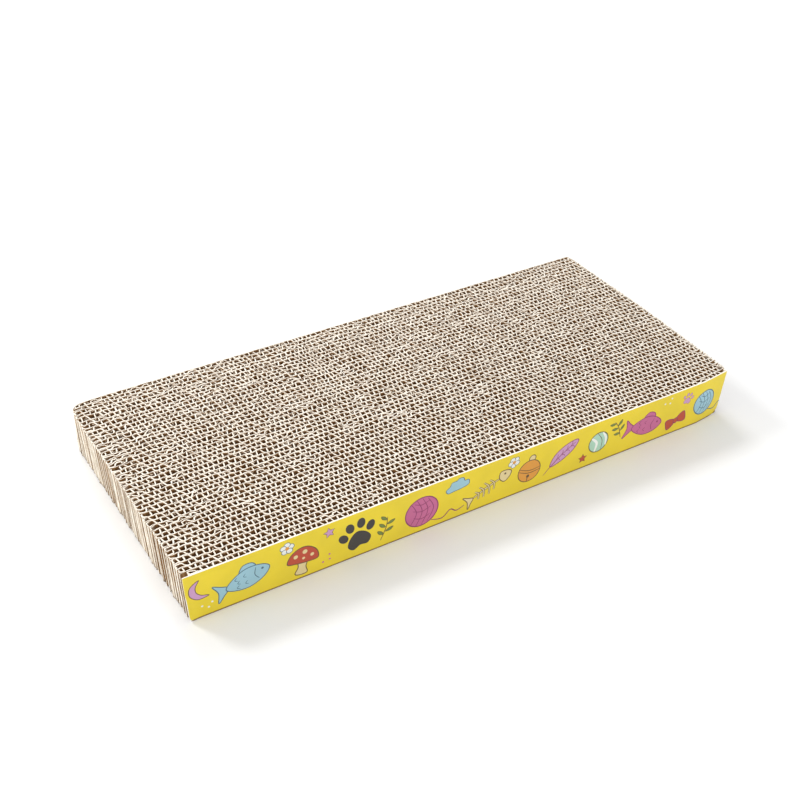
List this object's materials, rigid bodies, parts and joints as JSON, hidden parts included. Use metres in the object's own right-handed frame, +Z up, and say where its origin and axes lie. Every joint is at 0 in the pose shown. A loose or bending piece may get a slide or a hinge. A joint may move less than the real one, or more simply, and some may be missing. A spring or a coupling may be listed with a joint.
{
  "type": "corrugated cardboard cat scratcher",
  "caption": "Flat rectangular scratching pad for cats: corrugated cardboard strips glued face to face with upright flutes, and a printed card along each long side.",
  "frame": {"origin": "centre of the pad's footprint, on the floor that it lies on", "axes": "+X along the pad's long side, +Y from the front cover towards the back cover, +Z up out of the scratching face"},
  "size_m": [0.44, 0.1946, 0.038],
  "materials": {
    "cardboard": "matte",
    "printed_card": "satin"
  },
  "bodies": {
    "root": {"front_cover": "printed_card", "corrugated_strip_01": "cardboard", "corrugated_strip_02": "cardboard", "corrugated_strip_03": "cardboard", "corrugated_strip_04": "cardboard", "corrugated_strip_05": "cardboard", "corrugated_strip_06": "cardboard", "corrugated_strip_07": "cardboard", "corrugated_strip_08": "cardboard", "corrugated_strip_09": "cardboard", "corrugated_strip_10": "cardboard", "corrugated_strip_11": "cardboard", "corrugated_strip_12": "cardboard", "corrugated_strip_13": "cardboard", "corrugated_strip_14": "cardboard", "corrugated_strip_15": "cardboard", "corrugated_strip_16": "cardboard", "corrugated_strip_17": "cardboard", "corrugated_strip_18": "cardboard", "corrugated_strip_19": "cardboard", "corrugated_strip_20": "cardboard", "corrugated_strip_21": "cardboard", "corrugated_strip_22": "cardboard", "corrugated_strip_23": "cardboard", "corrugated_strip_24": "cardboard", "corrugated_strip_25": "cardboard", "corrugated_strip_26": "cardboard", "corrugated_strip_27": "cardboard", "corrugated_strip_28": "cardboard", "corrugated_strip_29": "cardboard", "corrugated_strip_30": "cardboard", "corrugated_strip_31": "cardboard", "corrugated_strip_32": "cardboard", "corrugated_strip_33": "cardboard", "corrugated_strip_34": "cardboard", "corrugated_strip_35": "cardboard", "corrugated_strip_36": "cardboard", "corrugated_strip_37": "cardboard", "corrugated_strip_38": "cardboard", "corrugated_strip_39": "cardboard", "corrugated_strip_40": "cardboard", "corrugated_strip_41": "cardboard", "corrugated_strip_42": "cardboard", "corrugated_strip_43": "cardboard", "corrugated_strip_44": "cardboard", "corrugated_strip_45": "cardboard", "back_cover": "printed_card"}
  },
  "joints": []
}
